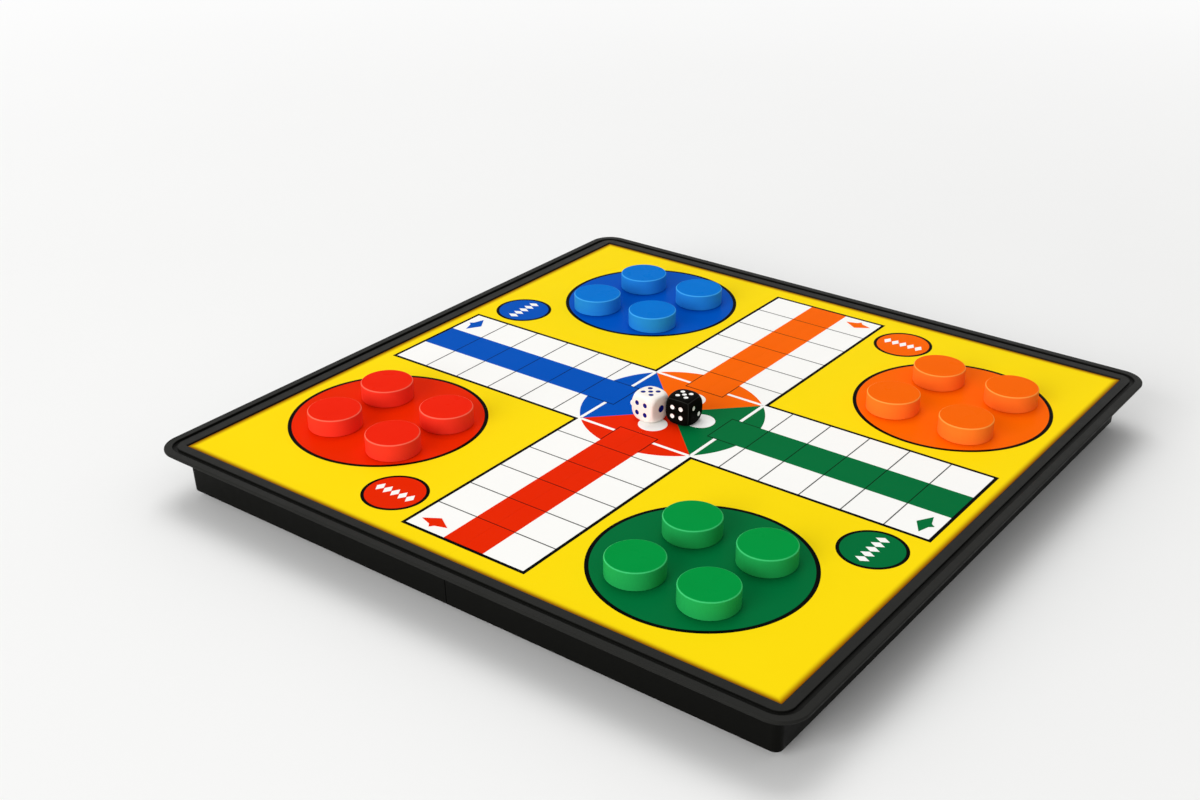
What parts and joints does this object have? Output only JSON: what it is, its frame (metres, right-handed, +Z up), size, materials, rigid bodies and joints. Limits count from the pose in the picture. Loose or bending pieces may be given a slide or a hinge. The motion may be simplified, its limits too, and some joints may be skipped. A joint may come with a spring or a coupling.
{
  "type": "magnetic ludo board",
  "caption": "Folding magnetic board for a four-player race game: two hinged hollow halves, a printed face, lift-off discs and dice.",
  "frame": {"origin": "on the floor under the middle of the open board, in the plane of the four feet", "axes": "+Z up, X along the fold, +Y towards the rear half"},
  "size_m": [0.248, 0.243, 0.0286],
  "materials": {
    "case": "satin black moulded plastic",
    "printed_sheet": "printed and laminated sheet",
    "sheet_steel": "tinned sheet",
    "pin_steel": "drawn wire",
    "magnet": "sintered ferrite",
    "disc_red": "moulded",
    "disc_blue": "moulded",
    "disc_orange": "moulded",
    "disc_green": "moulded",
    "white_die": "moulded",
    "black_die": "moulded"
  },
  "bodies": {
    "rear_half": {"rear_case_half": "case", "rear_steel_sheet": "sheet_steel", "rear_playing_surface": "printed_sheet", "rear_left_closing_magnet": "magnet", "rear_right_closing_magnet": "magnet", "left_hinge_pin": "pin_steel", "right_hinge_pin": "pin_steel"},
    "front_half": {"front_case_half": "case", "front_steel_sheet": "sheet_steel", "front_playing_surface": "printed_sheet", "front_left_closing_magnet": "magnet", "front_right_closing_magnet": "magnet"},
    "red_disc_1": {"red_disc_1": "disc_red", "red_disc_magnet_1": "magnet"},
    "red_disc_2": {"red_disc_2": "disc_red", "red_disc_magnet_2": "magnet"},
    "red_disc_3": {"red_disc_3": "disc_red", "red_disc_magnet_3": "magnet"},
    "red_disc_4": {"red_disc_4": "disc_red", "red_disc_magnet_4": "magnet"},
    "blue_disc_1": {"blue_disc_1": "disc_blue", "blue_disc_magnet_1": "magnet"},
    "blue_disc_2": {"blue_disc_2": "disc_blue", "blue_disc_magnet_2": "magnet"},
    "blue_disc_3": {"blue_disc_3": "disc_blue", "blue_disc_magnet_3": "magnet"},
    "blue_disc_4": {"blue_disc_4": "disc_blue", "blue_disc_magnet_4": "magnet"},
    "orange_disc_1": {"orange_disc_1": "disc_orange", "orange_disc_magnet_1": "magnet"},
    "orange_disc_2": {"orange_disc_2": "disc_orange", "orange_disc_magnet_2": "magnet"},
    "orange_disc_3": {"orange_disc_3": "disc_orange", "orange_disc_magnet_3": "magnet"},
    "orange_disc_4": {"orange_disc_4": "disc_orange", "orange_disc_magnet_4": "magnet"},
    "green_disc_1": {"green_disc_1": "disc_green", "green_disc_magnet_1": "magnet"},
    "green_disc_2": {"green_disc_2": "disc_green", "green_disc_magnet_2": "magnet"},
    "green_disc_3": {"green_disc_3": "disc_green", "green_disc_magnet_3": "magnet"},
    "green_disc_4": {"green_disc_4": "disc_green", "green_disc_magnet_4": "magnet"},
    "white_die": {"white_die": "white_die"},
    "black_die": {"black_die": "black_die"}
  },
  "joints": [
    {"name": "fold", "type": "hinge", "parent": "rear_half", "child": "front_half", "pos_m": [0, 0, 0.0023], "axis": [1, 0, 0], "range_deg": [0, 180]},
    {"name": "red_disc_1_lift", "type": "slide", "parent": "rear_half", "child": "red_disc_1", "axis": [0, 0, 1], "range_m": [0, 0.03]},
    {"name": "red_disc_2_lift", "type": "slide", "parent": "rear_half", "child": "red_disc_2", "axis": [0, 0, 1], "range_m": [0, 0.03]},
    {"name": "red_disc_3_lift", "type": "slide", "parent": "rear_half", "child": "red_disc_3", "axis": [0, 0, 1], "range_m": [0, 0.03]},
    {"name": "red_disc_4_lift", "type": "slide", "parent": "rear_half", "child": "red_disc_4", "axis": [0, 0, 1], "range_m": [0, 0.03]},
    {"name": "blue_disc_1_lift", "type": "slide", "parent": "rear_half", "child": "blue_disc_1", "axis": [0, 0, 1], "range_m": [0, 0.03]},
    {"name": "blue_disc_2_lift", "type": "slide", "parent": "rear_half", "child": "blue_disc_2", "axis": [0, 0, 1], "range_m": [0, 0.03]},
    {"name": "blue_disc_3_lift", "type": "slide", "parent": "rear_half", "child": "blue_disc_3", "axis": [0, 0, 1], "range_m": [0, 0.03]},
    {"name": "blue_disc_4_lift", "type": "slide", "parent": "rear_half", "child": "blue_disc_4", "axis": [0, 0, 1], "range_m": [0, 0.03]},
    {"name": "orange_disc_1_lift", "type": "slide", "parent": "front_half", "child": "orange_disc_1", "axis": [0, 0, 1], "range_m": [0, 0.03]},
    {"name": "orange_disc_2_lift", "type": "slide", "parent": "front_half", "child": "orange_disc_2", "axis": [0, 0, 1], "range_m": [0, 0.03]},
    {"name": "orange_disc_3_lift", "type": "slide", "parent": "front_half", "child": "orange_disc_3", "axis": [0, 0, 1], "range_m": [0, 0.03]},
    {"name": "orange_disc_4_lift", "type": "slide", "parent": "front_half", "child": "orange_disc_4", "axis": [0, 0, 1], "range_m": [0, 0.03]},
    {"name": "green_disc_1_lift", "type": "slide", "parent": "front_half", "child": "green_disc_1", "axis": [0, 0, 1], "range_m": [0, 0.03]},
    {"name": "green_disc_2_lift", "type": "slide", "parent": "front_half", "child": "green_disc_2", "axis": [0, 0, 1], "range_m": [0, 0.03]},
    {"name": "green_disc_3_lift", "type": "slide", "parent": "front_half", "child": "green_disc_3", "axis": [0, 0, 1], "range_m": [0, 0.03]},
    {"name": "green_disc_4_lift", "type": "slide", "parent": "front_half", "child": "green_disc_4", "axis": [0, 0, 1], "range_m": [0, 0.03]},
    {"name": "white_die_lift", "type": "slide", "parent": "rear_half", "child": "white_die", "axis": [0, 0, 1], "range_m": [0, 0.03]},
    {"name": "black_die_lift", "type": "slide", "parent": "front_half", "child": "black_die", "axis": [0, 0, 1], "range_m": [0, 0.03]}
  ]
}
